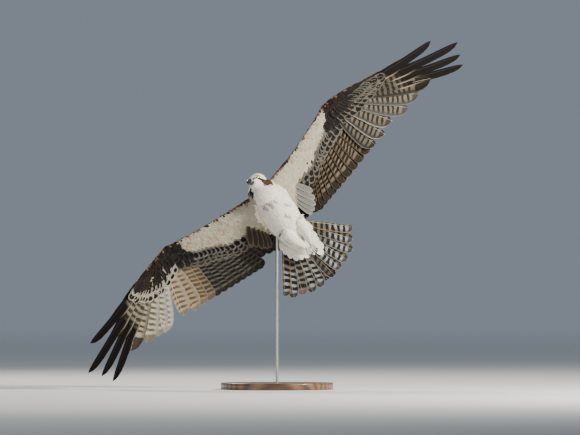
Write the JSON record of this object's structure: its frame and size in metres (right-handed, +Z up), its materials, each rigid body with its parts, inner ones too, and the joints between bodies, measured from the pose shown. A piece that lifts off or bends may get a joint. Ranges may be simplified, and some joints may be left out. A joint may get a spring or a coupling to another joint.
{
  "type": "osprey model",
  "caption": "Life-size osprey in banked flight with spread wings and fanned tail, held above a round base by one rod.",
  "frame": {"origin": "centre of the stand base's underside, on the floor", "axes": "+Z up, -Y towards the viewer who sees the bird's underside and face, +X to that viewer's right, the side of the bird's raised left wing"},
  "size_m": [1.2048, 0.4096, 1.1193],
  "materials": {
    "body_feathers": "soft white body feathers with sparse brown marks",
    "flight_feathers": "dark brown and pale barred flight feathers",
    "horn": "polished black horn of beak and claws",
    "bare_skin": "pale blue-grey scaly skin",
    "eye": "clear yellow eye with a black pupil",
    "stand_wood": "dark oiled wood",
    "stand_steel": "brushed steel rod"
  },
  "bodies": {
    "root": {"torso": "body_feathers", "neck": "body_feathers", "head": "body_feathers", "eye_left": "eye", "eye_right": "eye", "beak_upper": "horn", "beak_lower": "horn", "cere": "bare_skin", "wing_left_arm": "flight_feathers", "wing_left_hand": "flight_feathers", "wing_right_arm": "flight_feathers", "wing_right_hand": "flight_feathers", "tail": "flight_feathers", "leg_left": "body_feathers", "leg_right": "body_feathers", "foot_left": "bare_skin", "foot_right": "bare_skin", "claw_left_1": "horn", "claw_left_2": "horn", "claw_left_3": "horn", "claw_left_4": "horn", "claw_right_1": "horn", "claw_right_2": "horn", "claw_right_3": "horn", "claw_right_4": "horn", "stand_base": "stand_wood", "stand_rod": "stand_steel"}
  },
  "joints": []
}
